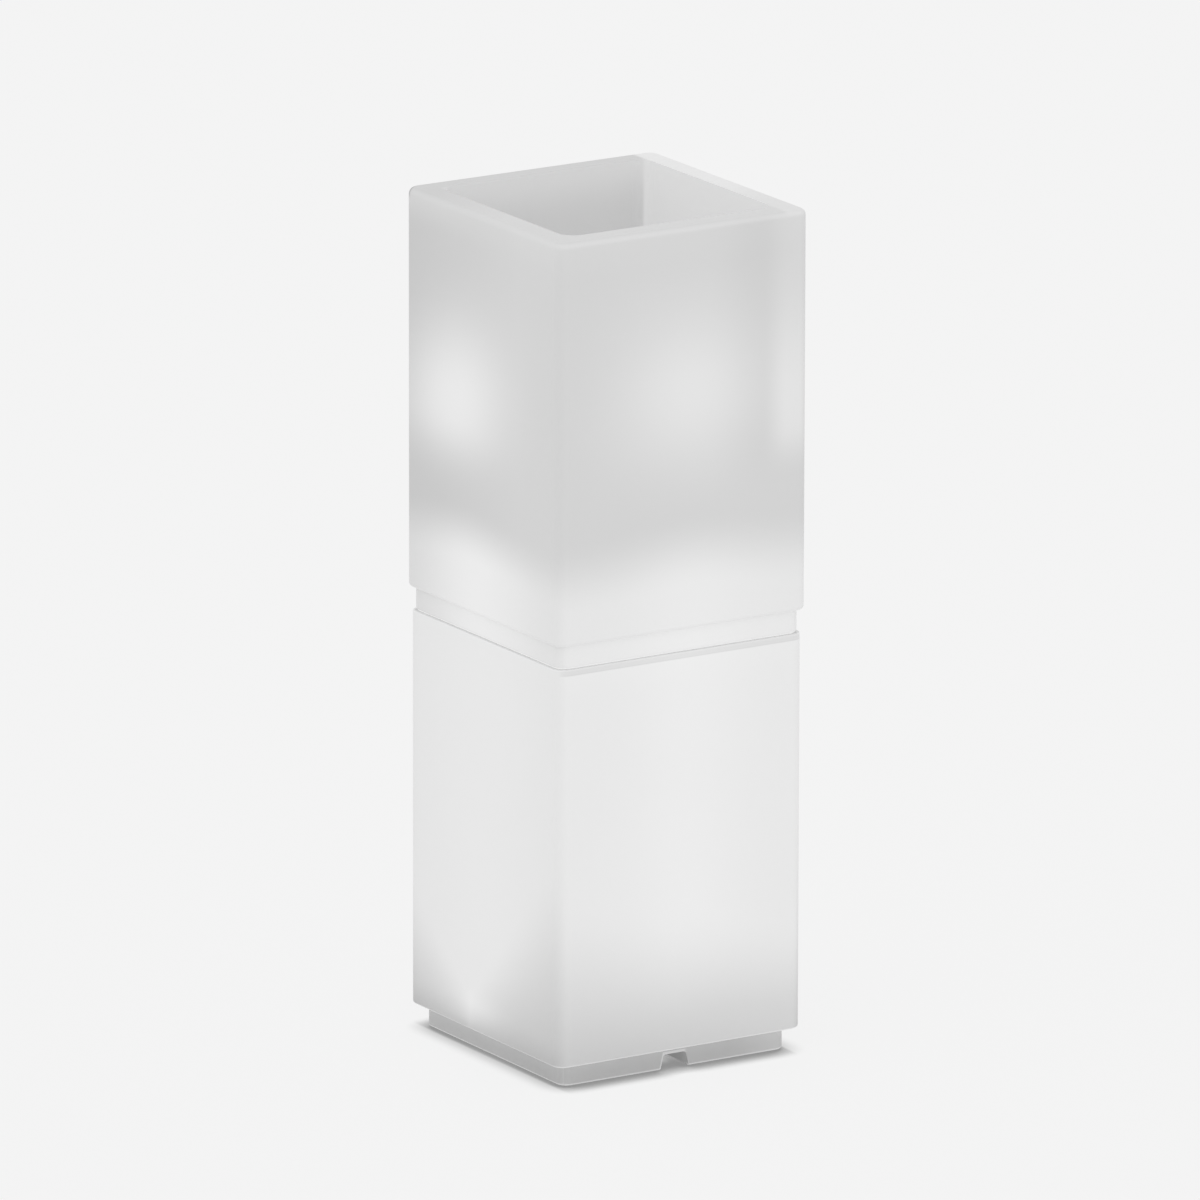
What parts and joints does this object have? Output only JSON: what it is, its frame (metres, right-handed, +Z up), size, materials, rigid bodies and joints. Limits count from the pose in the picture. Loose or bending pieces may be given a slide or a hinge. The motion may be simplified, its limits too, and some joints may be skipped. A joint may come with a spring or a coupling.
{
  "type": "outdoor floor lamp",
  "caption": "Square illuminated outdoor column in white translucent plastic with an open planter on top, on a set-in plinth.",
  "frame": {"origin": "centre of the footprint, on the ground under the rubber feet", "axes": "+Z up along the column; -Y out of the side with the cable notch"},
  "size_m": [0.27, 0.27, 0.8],
  "materials": {
    "shell_plastic": "satin, translucent",
    "plinth_plastic": "matte",
    "seal_rubber": "matte",
    "foot_rubber": "matte",
    "gland_plastic": "fine texture",
    "fixing_steel": "bright",
    "contact_brass": "bright",
    "tray_metal": "satin white",
    "gear_case": "satin",
    "driver_case": "matte",
    "white_plastic": "satin",
    "core_brown": "satin",
    "core_blue": "satin",
    "lead_white": "satin",
    "plug_black": "matte",
    "lamp_glass": "frosted",
    "lens_plastic": "frosted"
  },
  "bodies": {
    "base": {"lower_shell": "shell_plastic", "neck_seal": "seal_rubber", "base_plate": "plinth_plastic", "base_gasket": "seal_rubber", "base_inserts": "contact_brass", "base_screws": "fixing_steel", "rubber_feet": "foot_rubber", "gland_body": "gland_plastic", "gland_seal": "seal_rubber", "gland_locknut": "gland_plastic", "gear_tray": "tray_metal", "tray_screws": "fixing_steel", "ballast": "gear_case", "led_driver": "driver_case", "gear_screws": "fixing_steel", "terminal_block": "white_plastic", "terminal_screws": "fixing_steel", "mains_cores": "core_brown", "ballast_cores": "core_blue", "lamp_cores": "lead_white", "driver_cores": "core_blue", "feed_lead": "lead_white", "lamp_socket": "white_plastic", "socket_screws": "fixing_steel", "lamp_clip": "white_plastic", "lamp_spine": "tray_metal", "spine_screws": "fixing_steel", "plug_socket": "plug_black"},
    "pot": {"upper_shell": "shell_plastic", "pot_plug": "plug_black", "pot_lead": "lead_white", "lead_splice": "white_plastic", "lead_clips": "white_plastic", "light_modules": "white_plastic", "module_lenses": "lens_plastic"},
    "lamp": {"lamp_cap": "white_plastic", "lamp_pins": "contact_brass", "lamp_tubes": "lamp_glass"},
    "cord_nut": {"gland_nut": "gland_plastic"}
  },
  "joints": [
    {"name": "pot_lift", "type": "slide", "parent": "base", "child": "pot", "axis": [0, 0, 1], "range_m": [0, 0.15]},
    {"name": "lamp_pull", "type": "slide", "parent": "base", "child": "lamp", "axis": [0, 0, 1], "range_m": [0, 0.06]},
    {"name": "cord_nut_turn", "type": "hinge", "parent": "base", "child": "cord_nut", "pos_m": [0, -0.035, 0.012], "axis": [0, -1, 0], "range_deg": [0, 360]}
  ]
}
